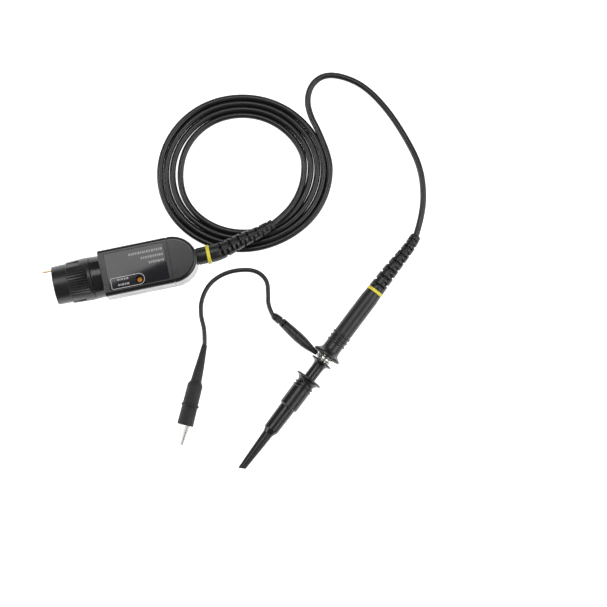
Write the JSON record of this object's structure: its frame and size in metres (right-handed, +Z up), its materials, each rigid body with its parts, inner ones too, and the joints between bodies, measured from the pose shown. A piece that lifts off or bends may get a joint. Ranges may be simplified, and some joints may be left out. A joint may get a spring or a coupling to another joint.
{
  "type": "oscilloscope probe",
  "caption": "Passive oscilloscope probe: compensation box with BNC plug and readout contact, coiled coax, finger-guard handle, sprung hook tip and ground lead with clip.",
  "frame": {"origin": "centre of the compensation box's flat resting face, on the surface it lies on", "axes": "-X out of the BNC mouth along the plug axis, +X towards the cable, +Z up away from the surface"},
  "size_m": [0.2195, 0.2092, 0.0247],
  "materials": {
    "case_plastic": "fine moulded satin",
    "knob_plastic": "satin, slightly glossy",
    "label_film": "glossy printed film",
    "board_laminate": "solder-mask green",
    "chip_ceramic": "matt",
    "tinned_steel": "tinned sheet",
    "white_ceramic": "unglazed",
    "ptfe": "waxy white",
    "brass": "machined",
    "gold_plate": "gold plated",
    "nickel_plate": "nickel plated",
    "silicone": "soft gasket",
    "relief_rubber": "matt elastomer",
    "marker_yellow": "satin",
    "cable_jacket": "satin jacket",
    "grip_plastic": "satin grip",
    "tip_plastic": "smooth moulded"
  },
  "bodies": {
    "root": {"attenuator_strip": "white_ceramic", "bnc_body": "nickel_plate", "bnc_centre_pin": "gold_plate", "bnc_gasket": "silicone", "bnc_insulator": "ptfe", "bnc_lock_nut": "nickel_plate", "bnc_outer_contact": "nickel_plate", "bnc_retaining_ring": "tinned_steel", "bnc_spring_washer": "tinned_steel", "board_parts": "chip_ceramic", "box_cable_ferrule": "brass", "box_end_cap": "case_plastic", "box_lower_shell": "case_plastic", "box_marker_ring": "marker_yellow", "box_strain_relief": "relief_rubber", "box_upper_shell": "case_plastic", "case_screws": "tinned_steel", "circuit_board": "board_laminate", "clip_cover": "relief_rubber", "clip_lower_jaw": "nickel_plate", "clip_pivot_pin": "nickel_plate", "clip_spring": "tinned_steel", "front_collar": "case_plastic", "ground_barrel": "nickel_plate", "ground_collar": "nickel_plate", "ground_lead_moulding": "relief_rubber", "ground_lead_wire": "cable_jacket", "handle_cable_ferrule": "brass", "handle_marker_ring": "marker_yellow", "handle_shell": "grip_plastic", "handle_strain_relief": "relief_rubber", "label_plate": "label_film", "main_cable_coil": "cable_jacket", "main_cable_lead_in": "cable_jacket", "main_cable_run": "cable_jacket", "probe_needle": "gold_plate", "readout_barrel": "gold_plate", "readout_spring": "tinned_steel", "shield_can": "tinned_steel", "tip_insulator": "ptfe", "trimmer_body": "white_ceramic"},
    "knob": {"bnc_knob": "knob_plastic", "bnc_bayonet_nut": "nickel_plate"},
    "readout_plunger": {"readout_pin": "gold_plate"},
    "trimmer": {"trimmer_rotor": "brass"},
    "hook_tip": {"hook_core": "tip_plastic", "hook_contact": "brass", "hook_wire": "tinned_steel", "hook_spring": "tinned_steel"},
    "hook_slider": {"hook_sleeve": "tip_plastic"},
    "clip_jaw": {"clip_upper_jaw": "nickel_plate"}
  },
  "joints": [
    {"name": "bnc_lock", "type": "hinge", "parent": "root", "child": "knob", "pos_m": [-0.05, 0, 0.0123], "axis": [-1, 0, 0], "range_deg": [0, 90]},
    {"name": "readout_press", "type": "slide", "parent": "root", "child": "readout_plunger", "axis": [1, 0, 0], "range_m": [0, 0.002], "stiffness_N_per_m": 300, "springref_m": -0.001, "deforming": ["readout_spring"]},
    {"name": "trimmer_turn", "type": "hinge", "parent": "root", "child": "trimmer", "pos_m": [-0.0067, -0.0069, 0.0154], "axis": [0, 0, 1], "continuous": true},
    {"name": "hook_tip_pull", "type": "slide", "parent": "root", "child": "hook_tip", "axis": [-0.7501, -0.6613, 0], "range_m": [0, 0.02]},
    {"name": "hook_slide", "type": "slide", "parent": "hook_tip", "child": "hook_slider", "axis": [0.7501, 0.6613, 0], "range_m": [0, 0.007], "stiffness_N_per_m": 200, "springref_m": -0.004, "deforming": ["hook_spring"]},
    {"name": "clip_open", "type": "hinge", "parent": "root", "child": "clip_jaw", "pos_m": [0.0022, -0.08746, 0.00475], "axis": [-0.7394, 0.3527, -0.5736], "range_deg": [0, 20], "stiffness_Nm_per_rad": 0.08, "springref_deg": -28.65, "deforming": ["clip_spring"]}
  ]
}
